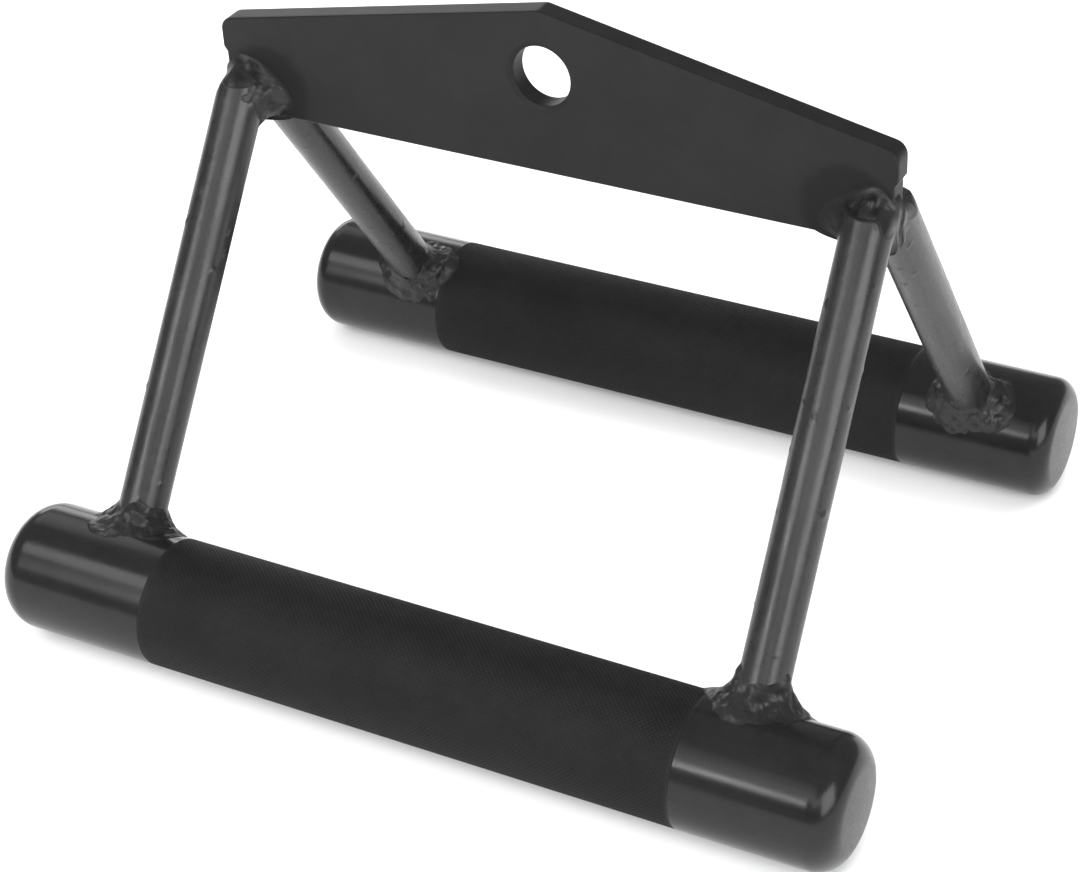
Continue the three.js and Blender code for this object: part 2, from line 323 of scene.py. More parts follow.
# Near black that the painted shade beside the welds and at the bead toes, and the weld burns, run
# towards
SHADE_AND_BURN_BLACK = (0.002, 0.002, 0.0021)
STEEL_PAINT_IOR = 1.5

# Feature sizes of the patterns in the paint
CLOUD_SIZE = 18.0 * MM
MOTTLE_SIZE = 3.5 * MM
SPECK_SIZE = 0.9 * MM
STREAK_SIZE = 1.5 * MM
DENT_SIZE = 5.0 * MM


@dataclass(frozen=True)
class Paint:
    """Black paint on steel, by how it was laid on and how it shines."""

    name: str
    deep: Triple
    faded: Triple
    roughness: float
    roughness_spread: float
    peel_size: float
    peel_height: float
    grain_size: float
    grain_height: float
    specular: float
    dust: float = 0.0
    crest_shine: float = 0.0
    streaks: float = 0.0
    dents: float = 0.0
    # Strength of the painted shade on the plate beside the weld beads
    weld_shade: float = 0.0
    edge_roughness: float = 0.0
    # Strength of the painted shade along the bead toes, together with the listed burns
    toe_shade_and_burns: float = 0.0
    cut_roughness: float = 0.0

    def material(self) -> Material:
        """Make the paint's material.

        Returns:
            A material with a mottled tone, a broken gloss, the sprayed coat's dimples and a fine
            grain. Where the mesh says so, it has the streaks and dents of drawn bar, painted
            shade beside the welds, painted shade and burns at the bead toes, brighter crests and
            a band that starts softly.
        """
        graph = Graph(self.name)
        mottle = graph.noise(MOTTLE_SIZE, 4.0, 0.65)
        tone = (0.55 * graph.noise(CLOUD_SIZE, 3.0, 0.6) + 0.45 * mottle).ramp(0.32, 0.68)
        specks = graph.noise(SPECK_SIZE, 2.0, 0.5).ramp(0.69, 0.76)
        share = tone * (1.0 - self.dust) + specks * self.dust
        gloss = self.roughness + self.roughness_spread * (mottle - 0.5) + 0.12 * specks
        normal = graph.bump(graph.noise(self.grain_size, 3.0, 0.6), self.grain_height)
        normal = graph.bump(graph.noise(self.peel_size, 2.0, 0.45), self.peel_height, normal)
        if self.streaks:
            place = graph.attribute("drawn", "Vector")
            gloss = gloss + self.streaks * (graph.noise(STREAK_SIZE, 3.0, 0.6, place) - 0.5)
            normal = graph.bump(graph.noise(DENT_SIZE, 2.0, 0.5, place), self.dents, normal)
        if self.cut_roughness:
            gloss = gloss + self.cut_roughness * graph.attribute("cut")
        if self.crest_shine:
            crest = graph.attribute("crest")
            gloss = gloss - self.crest_shine * crest
            share = share * 0.7 + 0.3 * crest
        if self.edge_roughness:
            inside = (graph.attribute("inside") + 0.5 * (mottle - 0.5)).ramp(0.05, 0.6)
            gloss = gloss * inside + self.edge_roughness * (1.0 - inside)
            share = share * inside + (1.0 - inside)
        color = graph.blend(share, self.deep, self.faded)
        # Painted shade: the bead darkens towards black along its toe, where it meets the plate or
        # the grip, and at the listed shades and burns; it is rougher there too
        if self.toe_shade_and_burns:
            toe = (graph.attribute("toe") + 1.1 * (mottle - 0.5)).ramp(0.25, 0.8)
            color = graph.blend(toe * self.toe_shade_and_burns, color, SHADE_AND_BURN_BLACK)
            gloss = gloss + 0.35 * toe
        # Painted shade: the plate darkens towards black beside the weld beads, where shade falls
        # between bead and plate; it is a little rougher there too
        if self.weld_shade:
            darkening = (graph.attribute("weld_shade") * (0.6 + 0.8 * mottle)).ramp(0.1, 0.9)
            color = graph.blend(darkening * self.weld_shade, color, SHADE_AND_BURN_BLACK)
            gloss = gloss + 0.12 * darkening
        return graph.surface({"Base Color": color, "Roughness": gloss, "Normal": normal,
                              "IOR": STEEL_PAINT_IOR, "Specular IOR Level": self.specular})


PAINTS = (
    # The plate carries painted shade beside the weld beads
    Paint("plate_paint", (0.006, 0.006, 0.0062), (0.0098, 0.0098, 0.01), 0.5, 0.1, 1.6 * MM,
          0.012 * MM, 0.35 * MM, 0.008 * MM, 0.21, dust=0.12, weld_shade=0.6),
    Paint("strut_paint", (0.009, 0.009, 0.0092), (0.017, 0.017, 0.0173), 0.3, 0.16, 2.2 * MM,
          0.04 * MM, 0.5 * MM, 0.006 * MM, 0.4, dust=0.10, streaks=0.3, dents=0.25 * MM),
    Paint("grip_paint", (0.0078, 0.0078, 0.008), (0.0112, 0.0112, 0.0114), 0.2, 0.05, 2.6 * MM,
          0.010 * MM, 0.4 * MM, 0.002 * MM, 0.25, dust=0.04, streaks=0.16, dents=0.02 * MM,
          cut_roughness=0.08),
    Paint("knurl_paint", (0.0044, 0.0044, 0.0046), (0.0084, 0.0084, 0.0087), 0.6, 0.1, 2.6 * MM,
          0.004 * MM, 0.3 * MM, 0.006 * MM, 0.17, crest_shine=0.06, edge_roughness=0.55),
    # The beads carry painted shade along their toes, with burns
    Paint("bead_paint", (0.006, 0.006, 0.0062), (0.014, 0.014, 0.0143), 0.38, 0.22, 1.1 * MM,
          0.09 * MM, 0.4 * MM, 0.02 * MM, 0.33, dust=0.10, toe_shade_and_burns=0.85),
)


def dress(piece: Object, material: Material, node: str) -> None:
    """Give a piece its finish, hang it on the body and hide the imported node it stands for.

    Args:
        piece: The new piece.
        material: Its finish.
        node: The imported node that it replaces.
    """
    piece.data.materials.clear()
    piece.data.materials.append(material)
    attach(piece, BODY)
    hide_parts(node)
    log.info("%s: %d faces, stands for %s", piece.name, len(piece.data.polygons), node)


# Hanger plate


@dataclass
class HangerPlate:
    """Flat bar cut to a low peak, drilled, deburred, and nicked by the welding at its ends."""

    length: float = 176.4 * MM
    end_height: float = 23.5 * MM
    peak_height: float = 41.4 * MM
    corner_radius: float = 3.4 * MM
    lower_corner_radius: float = 1.2 * MM
    peak_radius: float = 3.0 * MM
    edge_radius: float = 0.55 * MM
    edge_gap: float = 0.05 * MM
    hole_radius: float = 7.5 * MM
    hole_drop: float = 16.5 * MM
    countersink_depth: float = 0.5 * MM
    countersink_reach: float = 1.2 * MM
    countersink_softness: float = 0.15 * MM
    nick: float = 0.9 * MM
    nick_top: float = 16.2 * MM
    nick_run: float = 1.4 * MM
    # Spread of the painted shade on the plate beside the beads
    weld_shade_size: float = 2.5 * MM
    spacing: float = 0.7 * MM
    corner_steps: int = 10
    face_rows: int = 26
    edge_rows: int = 6

    def corners(self) -> Array:
        """The outline's corners as x, z and radius, anticlockwise from the lower left."""
        half = self.length / 2
        right = np.array([
            (half - self.nick, 0.0, self.lower_corner_radius),
            (half - self.nick, self.nick_top - self.nick_run, self.nick),
            (half, self.nick_top, self.nick),
            (half, self.end_height, self.corner_radius),
        ])
        left = right[::-1] * np.array([-1.0, 1.0, 1.0])
        peak = (0.0, self.peak_height, self.peak_radius)
        return np.concatenate([left[-1:], right, [peak], left[:-1]])

    def outline(self) -> tuple[Array, Array]:
        """The rounded outline in x and z, evenly filled in.

        An arc touches both edges of its corner, and its centre lies on their bisector.

        Returns:
            Its points and its outward normals.
        """
        places, radius = np.split(self.corners(), [2], axis=1)
        back, ahead = (unit(np.roll(places, step, axis=0) - places) for step in (1, -1))
        half_angle = np.arccos((back * ahead).sum(axis=-1, keepdims=True)) / 2
        centre = places + unit(back + ahead) * radius / np.sin(half_angle)
        start = places + back * radius / np.tan(half_angle) - centre
        turn = np.sign(ahead[:, :1] * back[:, 1:] - ahead[:, 1:] * back[:, :1])
        sweep = turn * (math.pi - 2 * half_angle) * np.linspace(0.0, 1.0, self.corner_steps)
        angle = np.arctan2(start[:, 1:], start[:, :1]) + sweep
        spokes = np.stack([np.cos(angle), np.sin(angle)], axis=-1)
        arcs = centre[:, None] + radius[:, None] * spokes
        points, normals = [], []
        for arc, outward, after in zip(arcs, spokes * turn[:, None], np.roll(arcs, -1, axis=0)):
            gap = after[0] - arc[-1]
            count = max(2, int(np.linalg.norm(gap) / self.spacing))
            share = np.arange(1, count)[:, None] / count
            points += [arc, arc[-1] + share * gap]
            normals += [outward, np.repeat(outward[-1:], count - 1, axis=0)]
        return np.concatenate(points), np.concatenate(normals)

    def grid(self) -> Array:
        """Rings from the bore's middle over the front face and the edge to the rear face.

        On the face a point is the weighted mean of the hole's rim and the outline along one ray,
        and the edge is a quarter round.

        Returns:
            Points by ring, column and coordinate, in the handle's frame.
        """
        outline, normals = self.outline()
        centre = np.array([0.0, self.peak_height - self.hole_drop])
        ray = unit(outline - centre)
        face, soft, radius = LAYOUT.plate_face, self.countersink_softness, self.edge_radius
        hole, depth, reach = self.hole_radius, self.countersink_depth, self.countersink_reach
        rim = centre + ray * (hole + reach + soft)
        edge = outline - normals * (radius + self.edge_gap)
        rings = [(centre + ray * hole, level)
                 for level in np.linspace(0.0, face - depth - soft, 4)]
        rings += [(centre + ray * (hole + share * reach), face - depth * (1 - share))
                  for share in np.linspace(0.05, 0.95, 5)]
        rings += [(rim + share * (edge - rim), face)
                  for share in np.linspace(0.0, 1.0, self.face_rows) ** 1.3]
        rings += [(outline - normals * (radius * (1 - math.sin(angle))),
                   face - radius * (1 - math.cos(angle)))
                  for angle in np.linspace(0.0, math.pi / 2, self.edge_rows)]
        rings += [(outline, level) for level in np.linspace(face - radius, 0.0, 4)[1:]]
        rings += [(ring, -level) for ring, level in rings[-2:0:-1]]
        stack = [np.stack([ring[:, 0], np.full(len(ring), -level), ring[:, 1]], axis=-1)
                 for ring, level in rings]
        return np.array(stack) + np.array([LAYOUT.hanger_shift, 0.0, LAYOUT.plate_bottom])

    def weld_shade(self, points: Array) -> Array:
        """Painted shade on the plate: a bell of the distance to the nearest bead on it."""
        inward = LAYOUT.strut_radius * np.array([[-line.side, 0.0, -0.5] for line in LINES])
        heads = np.array([line.head for line in LINES]) + inward
        hearts = np.array([line.half.place(head) for line, head in zip(LINES, heads)])
        away = np.linalg.norm(points[:, None] - hearts[None], axis=-1)
        beyond = np.maximum(away.min(axis=-1) - LAYOUT.bead_reach, 0.0)
        return np.exp(-(beyond / self.weld_shade_size) ** 2)

    def build(self, paint: Material) -> None:
        """Make the plate and dress it."""
        grid = self.grid()
        points = grid.reshape(-1, 3)
        quads = grid_quads(*grid.shape[:2])[:, ::-1]
        piece = make_mesh("hanger_plate_painted", points, [quads])
        # Painted shade beside the beads, held to a point for the paint to darken the plate by
        point_attribute(piece, "weld_shade", self.weld_shade(points))
        dress(piece, paint, "hanger_plate")


# Grips


@dataclass
class Grip:
    """Round bar with rounded end edges and a knurled band let in between its smooth ends."""

    half: Half
    end_rounding: float
    end_dome: float
    band_start: float
    band_diamonds: int
    columns: int = 192
    rounding_rows: int = 22
    disc_rows: int = 9
    lead_rows: int = 23
    seat_depth: float = 0.9 * MM
    knurl_depth: float = 0.26 * MM
    knurl_around: int = 80
    knurl_pitch: float = 1.25 * MM
    knurl_runout: float = 1.8 * MM
    crest_share: float = 0.4

    @property
    def centre(self) -> Array:
        """Middle of the bar in the handle's frame."""
        middle = np.array([LAYOUT.hanger_shift, -LAYOUT.grip_across, LAYOUT.grip_radius])
        return self.half.place(middle)

    @property
    def band_end(self) -> float:
        """End of the band along the bar."""
        return self.band_start + self.band_diamonds * self.knurl_pitch

    def profile(self) -> Array:
        """The bar's half section, from the left end to the right one.

        A disc, a quarter round, the smooth end, the band's seat, and the same backwards. A dome's
        height times the square of the share of the radius is added to the ends' inset. The smooth
        end's last two rings lie close, which keeps its shading straight up to the corner.

        Returns:
            One row of x and radius to a ring.
        """
        radius = LAYOUT.grip_radius
        half_length = LAYOUT.grip_length / 2
        left, right = self.centre[0] - half_length, self.centre[0] + half_length
        start, end = self.band_start, self.band_end
        angle = np.linspace(0.0, math.pi / 2, self.rounding_rows)
        disc = np.linspace(0.12, 0.97, self.disc_rows) * (radius - self.end_rounding)
        spread = np.append(disc, radius - self.end_rounding * (1 - np.sin(angle)))
        inset = self.end_dome * (spread / radius) ** 2
        inset[self.disc_rows:] += self.end_rounding * (1 - np.cos(angle))
        lead = np.append(np.linspace(0.02, 0.97, self.lead_rows), [0.9995, 1.0])
        smooth = np.full(len(lead), radius)
        seat = radius - self.seat_depth
        parts = [
            (left + inset, spread),
            (left + inset[-1] + lead * (start - left - inset[-1]), smooth),
            (np.array([start + LAYOUT.tuck, end - LAYOUT.tuck]), np.array([seat, seat])),
            (right - inset[-1] - lead[::-1] * (right - inset[-1] - end), smooth),
            (right - inset[::-1], spread[::-1]),
        ]
        return np.concatenate([np.stack(part, axis=-1) for part in parts])

    def around(self, along: Array, radius: Array, angle: Array) -> Array:
        """Points at a place along the bar, a radius and an angle from the top."""
        y = self.centre[1] + radius * np.sin(angle)
        z = self.centre[2] + radius * np.cos(angle)
        return np.stack(np.broadcast_arrays(along, y, z), axis=-1)

    def bar(self) -> Object:
        """Turn the profile about the bar's axis: each row of x and radius becomes a ring."""
        profile = self.profile()
        angle = FULL_TURN * np.arange(self.columns) / self.columns
        grid = self.around(profile[:, :1], profile[:, 1:], angle[None, :])
        half_length = LAYOUT.grip_length / 2
        ends = self.centre + np.array([[-half_length, 0.0, 0.0], [half_length, 0.0, 0.0]])
        piece = closed_tube(f"grip_{self.half.label}_bar", grid, ends, turn=-1)
        drawn = np.concatenate([grid.reshape(-1, 3), ends])
        point_attribute(piece, "drawn", drawn * np.array([LAYOUT.draw_stretch, 1.0, 1.0]))
        drop = LAYOUT.grip_radius - profile[:, 1]
        cut = smooth_step((drop - self.end_rounding / 2) / (self.end_rounding / 4))
        point_attribute(piece, "cut", np.append(np.repeat(cut, self.columns), [1.0, 1.0]))
        inside = np.abs(profile[:, 0] - self.centre[0]) < half_length - MM
        seat = inside & (drop > self.seat_depth / 2)
        flatten_faces(piece, np.flatnonzero(np.repeat(seat[:-1] | seat[1:], self.columns)))
        return piece

    def lattice(self) -> tuple[Array, Array, list[Array]]:
        """The knurl's points on the unrolled band and the numbers that they have in the mesh.

        Crossed grooves leave rows of diamonds, every second row half a step on. Each has four
        crest points, a share of the way from its middle to the crossings round it.

        Returns:
            Points as steps along and round, 1 at a crest and 0 at a crossing, and the numbers of
            both rows' crests and crossings.
        """
        count = self.band_diamonds
        steps = np.meshgrid(np.arange(count + 1), np.arange(self.knurl_around), indexing="ij")
        even = np.stack(steps, -1)
        odd = even[:-1] + 0.5
        half_step = np.array([0.0, 0.5])
        offsets = self.crest_share * np.array([-half_step[::-1], half_step, half_step[::-1],
                                               -half_step])
        layers = [even[:, :, None] + offsets, odd[:, :, None] + offsets, odd - half_step,
                  even + half_step]
        layers[0][..., 0] = np.clip(layers[0][..., 0], 0.0, count)
        sizes = [layer[..., 0].size for layer in layers]
        numbers = np.split(np.arange(sum(sizes)), np.cumsum(sizes)[:-1])
        return (np.concatenate([layer.reshape(-1, 2) for layer in layers]),
                np.repeat([1.0, 1.0, 0.0, 0.0], sizes),
                [part.reshape(layer.shape[:-1]) for part, layer in zip(numbers, layers)])

    def knurl(self) -> Object:
        """Make the knurled band as a closed sleeve of flat topped diamonds.

        Returns:
            The band's piece, whose grooves ease in from nothing at both ends.
        """
        start, end = self.band_start, self.band_end
        flat, height, (even, odd, beside, between) = self.lattice()
        along = start + flat[:, 0] * self.knurl_pitch
        ease = smooth_step(np.minimum(along - start, end - along) / self.knurl_runout)
        radius = LAYOUT.grip_radius - self.knurl_depth * ease * (1.0 - height)
        points = self.around(along, radius, flat[:, 1] * FULL_TURN / self.knurl_around)
        before, beyond = np.roll(between, 1, axis=1), np.roll(beside, -1, axis=1)
        on_even, on_odd = np.moveaxis(even, -1, 0), np.moveaxis(odd, -1, 0)
        slopes = [
            (on_even[1, :-1], between[:-1], beside, on_even[2, :-1]),
            (on_even[2, :-1], beside, before[:-1], on_even[3, :-1]),
            (on_even[3, 1:], before[1:], beside, on_even[0, 1:]),
            (on_even[0, 1:], beside, between[1:], on_even[1, 1:]),
            (on_odd[0], between[:-1], beyond, on_odd[1]),
            (on_odd[1], beyond, between[1:], on_odd[2]),
            (on_odd[2], between[1:], beside, on_odd[3]),
            (on_odd[3], beside, between[:-1], on_odd[0]),
        ]
        low, high = even[0], even[-1]
        rims = [np.stack([row[:, 3], row[:, 1], crossing], -1).ravel()
                for row, crossing in ((low, between[0]), (high, between[-1]))]
        size = len(rims[0])
        loops = [rims[0], *(len(points) + np.arange(2 * size).reshape(2, size)), rims[1]]
        hidden = [(one, np.roll(one, -1), np.roll(two, -1), two)
                  for one, two in zip(loops[:-1], loops[1:])]
        faces = [even[1:-1], odd, low[:, 1:], high[:, [3, 0, 1]]]
        faces += [np.stack(corners, -1) for corners in slopes + hidden]
        inner = LAYOUT.grip_radius - self.seat_depth - LAYOUT.tuck
        axis = self.centre[1:]
        walls = [np.column_stack([points[rim, 0], axis + inner * unit(points[rim, 1:] - axis)])
                 for rim in rims]
        piece = make_mesh(f"grip_{self.half.label}_knurl", np.concatenate([points, *walls]),
                          [part.reshape(-1, part.shape[-1])[:, ::-1] for part in faces])
        flatten_faces(piece, np.arange(-len(hidden) * size, 0))
        for name, values in (("crest", height), ("inside", ease)):
            point_attribute(piece, name, np.append(values, np.zeros(2 * size)))
        return piece

    def build(self, smooth: Material, knurled: Material) -> None:
        """Make the bar and its band and dress them."""
        node = f"grip_{self.half.label}"
        dress(self.bar(), smooth, node)
        dress(self.knurl(), knurled, node)


# Struts


# Start of the slope that the arc melted the corner to, in rod radii, and the blunt tip's height
USUAL_MELT = (1.15, 9.6 * MM)
MELTS = {"rear_right": (1.55, 7.0 * MM)}


@dataclass
class StrutLine:
    """One strut's line in the frame of its own half, from the grip's axis to the plate's face."""

    half: Half
    side: int

    def __post_init__(self) -> None:
        """Work out the line's name, its ends, its unit vectors and its angle from the upright.

        The axis runs from foot to head, inner points across the strut to the crotch under the
        plate, and across points to the plate's middle.
        """
        self.name = f"{self.half.label}_{self.half.hand(self.side)}"
        shift = self.half.value * LAYOUT.hanger_shift
        self.foot = np.array([shift + self.side * LAYOUT.foot_across, -LAYOUT.grip_across,
                              LAYOUT.grip_radius])
        self.head = np.array([shift + self.side * LAYOUT.head_across, -LAYOUT.plate_face,
                              LAYOUT.plate_bottom + LAYOUT.head_rise])
        self.axis = unit(self.head - self.foot)
        self.inner = unit(np.array([0.0, self.axis[2], -self.axis[1]]))
        self.across = np.cross(self.inner, self.axis) * -self.side
        self.lean = math.atan2(self.axis[1], self.axis[2])

    def point(self, radius: Values, angle: Array, distance: Values) -> Array:
        """Points round the strut.

        Args:
            radius: Distance from the line.
            angle: 0 towards the plate's middle, a quarter turn towards the crotch.
            distance: Way along the line from the head, negative towards the foot.

        Returns:
            Points with a last axis of x, y and z.
        """
        radius, angle, distance = np.broadcast_arrays(radius, angle, distance)
        parts = [radius * np.cos(angle), radius * np.sin(angle), distance]
        return self.head + np.stack(parts, axis=-1) @ np.array([self.across, self.inner, self.axis])

    def grip_root(self, radius: Values, angle: Array,
                  surface: float = LAYOUT.grip_radius - LAYOUT.tuck) -> Array:
        """Distance from the head at which a line of the strut's round meets the grip's round.

        The line's y and z are put in the circle's equation, and the upper root is taken.

        Args:
            radius: Distance from the strut's line.
            angle: Angle round it.
            surface: The grip's radius there.

        Returns:
            Distance to a radius and an angle.
        """
        start = self.point(radius, angle, 0.0) + np.array([0.0, LAYOUT.grip_across,
                                                           -LAYOUT.grip_radius])
        a = (self.axis[1:] ** 2).sum()
        b = 2 * start[..., 1:] @ self.axis[1:]
        c = (start[..., 1:] ** 2).sum(axis=-1) - surface ** 2
        return (-b + np.sqrt(b ** 2 - 4 * a * c)) / (2 * a)

    def head_end(self, radius: Values, angle: Array) -> Array:
        """Distance from the head at which the strut stops, the least of those to three planes.

        They are the plate's face, the blunt tip and the slope that the arc melted the corner to.
        A distance is the plane's level less the start's along its normal, over the axis's.

        Args:
            radius: Distance from the strut's line.
            angle: Angle round it.

        Returns:
            Distance to a radius and an angle.
        """
        melt_start, tip_rise = MELTS.get(self.name, USUAL_MELT)
        rod = LAYOUT.strut_radius
        on_rod = self.point(rod, np.array(FULL_TURN * LAYOUT.melt_turn), 0.0)
        slope = (on_rod - self.head) / rod + LAYOUT.melt_steepness * self.axis
        normals = np.array([[0.0, 1.0, 0.0], [0.0, 0.0, 1.0], slope])
        levels = np.array([-LAYOUT.plate_face, LAYOUT.plate_bottom + tip_rise,
                           (on_rod - melt_start * rod * self.axis) @ slope])
        ways = (levels - self.point(radius, angle, 0.0) @ normals.T) / (normals @ self.axis)
        return ways.min(axis=-1)


LINES = [StrutLine(half, side) for half in Half for side in (-1, 1)]


@dataclass
class Strut:
    """Round rod, coped to the grip and mitred to the plate, with spatter stuck to it."""

    line: StrutLine
    seed: int
    rows: int = 300
    columns: int = 96
    cap_rows: int = 5
    spatter_count: int = 26
    spatter_height: float = 0.22 * MM
    spatter_size: float = 0.55 * MM

    def spatter(self, angle: Array, share: Array, span: float) -> Array:
        """Height of the spatter: a sum of small round humps at seeded places near both welds.

        Args:
            angle: Angle round the rod.
            share: Share of the way along it, 0 at the foot.
            span: Its length.

        Returns:
            Height to a point, in metres.
        """
        draw = np.random.default_rng(self.seed)
        near = draw.beta(0.55, 0.75, self.spatter_count)
        turns = draw.uniform(0.0, FULL_TURN, self.spatter_count)
        sizes = self.spatter_size * draw.uniform(0.6, 1.5, self.spatter_count)
        heights = self.spatter_height * draw.uniform(0.4, 1.2, self.spatter_count)
        total = np.zeros(np.broadcast(angle, share).shape)
        for at, turn, size, height in zip(near, turns, sizes, heights):
            way = (share - at) * span
            round_way = np.sin((angle - turn) / 2) * 2 * LAYOUT.strut_radius
            total += height * np.exp(-(way ** 2 + round_way ** 2) / size ** 2)
        return total

    def build(self, paint: Material) -> None:
        """Make the rod as rings from the cope to the mitre, with closed ends, and dress it."""
        line, rod = self.line, LAYOUT.strut_radius
        angle = (FULL_TURN * np.arange(self.columns) / self.columns)[None, :]
        share = np.linspace(0.0, 1.0, self.rows)[:, None]
        low, high = line.grip_root(rod, angle), line.head_end(rod, angle)
        radius = rod + self.spatter(angle, share, float(np.mean(high - low)))
        body = line.point(radius, angle, low + share * (high - low))
        shrink = np.linspace(0.15, 0.9, self.cap_rows)[:, None] * rod
        middle = np.zeros(1)
        stops = (line.grip_root, line.head_end)
        caps = [line.point(shrink, angle, stop(shrink, angle)) for stop in stops]
        poles = np.concatenate([line.point(0.0, middle, stop(0.0, middle)) for stop in stops])
        grid = np.concatenate([caps[0], body, caps[1][::-1]])
        place = line.half.place
        piece = closed_tube(f"strut_{line.name}_rod", place(grid), place(poles), turn=-line.side)
        away = np.concatenate([grid.reshape(-1, 3), poles]) - line.head
        frame_axes = [line.across, line.inner, LAYOUT.draw_stretch * line.axis]
        point_attribute(piece, "drawn", away @ np.stack(frame_axes, axis=-1))
        dress(piece, paint, f"strut_{line.name}")


# Weld beads


# Rows of bells on a bead: degrees round the strut, share of the way across the face, height in
# millimetres, spread in degrees, and spread across
Rows = tuple[tuple[float, ...], ...]
USUAL_DEEP = 0.16


def bells(rows: Rows, angle: Array, share: Array) -> Array:
    """Sum of a table's bells: e to the less of the sum of both squared distances over spreads.

    Args:
        rows: The table.
        angle: Angles round the strut.
        share: Shares of the way across the face.

    Returns:
        Height to an angle and a share, in millimetres.
    """
    total = np.zeros(np.broadcast(angle, share).shape)
    for degrees, middle, height, wide, *deep in rows:
        turn = np.sin((angle - math.radians(degrees)) / 2) * 2 / math.radians(wide)
        way = (share - middle) / (deep[0] if deep else USUAL_DEEP)
        total += height * np.exp(-turn ** 2 - way ** 2)
    return total


# A quadratic curve's pull, as the share of the way to it at which a cubic's two pulls lie
PULL_SHARE = 2.0 / 3.0


@dataclass
class Bead:
    """A weld bead: a face lofted from a toe on one piece to a toe on the other."""

    line: StrutLine
    seed: int
    lumps: Rows = ()
    # Rows of painted shade and burns that darken the bead, besides the shade along its toe
    shades_and_burns: Rows = ()
    columns: int = 300
    rows: int = 60
    swell: float = 0.42 * MM
    ripple_height: float = 0.15 * MM
    ripples: int = 9
    ripple_bow: float = 0.9
    grain_height: float = 0.16 * MM
    grain_size: float = 1.0 * MM
    clot_height: float = 0.5 * MM
    clot_size: float = 2.3 * MM
    unrest: float = 1.0
    # Share of the face next to the far toe that gets the painted shade
    toe_shade_share: float = 0.08

    @property
    def angles(self) -> Array:
        """Angles round the strut, one to a column."""
        return FULL_TURN * np.arange(self.columns) / self.columns

    @property
    def shares(self) -> Array:
        """Shares of the way across the face, as one column with one to a ring."""
        return np.linspace(0.0, 1.0, self.rows)[:, None]

    @property
    def liveliness(self) -> Values:
        """Share of the relief that is left at each angle, all of it unless a bead says less."""
        return 1.0

    def waver(self, angle: Array) -> Array:
        """Slow unevenness round the seam: two sine waves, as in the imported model."""
        return (0.6 * np.sin(3 * angle + 2.3 * self.seed)
                + 0.4 * np.sin(5 * angle + 4.1 * self.seed))

    def relief(self, grid: Array) -> Array:
        """Height of the bead's surface over its plain face.

        It is the sum of the slow swell, the bowed ripples of the pools with sharp valleys between
        round crests, clots, grain and the named lumps, faded out at both toes.

        Args:
            grid: The plain face's points.

        Returns:
            Height to a point, in metres.
        """
        angle, share = self.angles, self.shares
        wander = 0.35 * np.sin(2 * angle + self.seed) + 0.2 * np.sin(7 * angle + 3 * self.seed)
        bow = self.ripple_bow * (2 * share - 1) ** 2
        phase = self.ripples * angle / FULL_TURN + wander + bow
        pools = np.sqrt(np.abs(np.sin(math.pi * phase))) - 0.7
        fade = np.sin(math.pi * np.clip(share, 0.0, 1.0)) ** 0.6
        clots = lattice_noise(grid, self.clot_size, self.seed + 11)
        grain = lattice_noise(grid, self.grain_size, self.seed + 23)
        height = self.swell * self.waver(angle + share) + self.ripple_height * pools
        height = self.unrest * (height + self.clot_height * clots + self.grain_height * grain)
        return (height + bells(self.lumps, angle, share) * MM) * fade * self.liveliness

    def face(self, start: Array, leave: Array, land: Array, end: Array) -> Array:
        """Rings that swing from one toe to the other on a cubic curve.

        With t the share of the way and s the rest, a point is the sum of s cubed times the start,
        three s squared t times the leaving ring, three s t squared times the landing ring, and t
        cubed times the end. The relief is laid on along the normals.

        Args:
            start: The toe that the face starts from.
            leave: The ring that it heads for from there.
            land: The ring that it comes from as it lands.
            end: The toe that it ends at.

        Returns:
            Points by ring, column and coordinate.
        """
        weight = self.shares[..., None]
        rest = 1 - weight
        plain = (rest ** 3 * start + 3 * rest ** 2 * weight * leave
                 + 3 * rest * weight ** 2 * land + weight ** 3 * end)
        normal = grid_normals(plain)
        centre = (start + end).mean(axis=0) / 2
        outward = np.sign(((plain - centre) * normal).sum(axis=-1).mean())
        return plain + outward * normal * self.relief(plain)[..., None]

    def finish(self, kind: str, lip_level: Array, rings: Array, sunk: Array, turn: int,
               paint: Material) -> None:
        """Close the bead inside both pieces, place it in the handle's frame and dress it.

        Args:
            kind: The piece that the bead joins the strut to.
            lip_level: Distance from the head at which its lip ends on the strut.
            rings: Its face.
            sunk: The ring below its far toe.
            turn: Sign of the side on which the faces look outwards.
            paint: Its finish.
        """
        line, place = self.line, self.line.half.place
        name = f"{kind}_weld_{line.name}"
        rod = LAYOUT.strut_radius
        angle = self.angles
        core = line.point(rod / 2, angle, lip_level)
        throat = line.point(rod - LAYOUT.tuck, angle, lip_level)
        grid = np.concatenate([core[None], throat[None], rings, sunk[None]])
        poles = np.array([core.mean(axis=0), sunk.mean(axis=0)])
        piece = closed_tube(f"{name}_bead", place(grid), place(poles), turn * line.side)
        # Painted shade along the far toe, where the bead meets the plate or the grip, plus the
        # listed shades and burns; the paint darkens the bead by it
        darkening = np.exp(-((1.0 - self.shares) / self.toe_shade_share) ** 2)
        darkening = (darkening + bells(self.shades_and_burns, angle, self.shares)) * self.liveliness
        toe = [np.zeros(2 * self.columns), darkening.ravel(), np.ones(self.columns), [0.0, 1.0]]
        point_attribute(piece, "toe", np.concatenate(toe))
        dress(piece, paint, name)


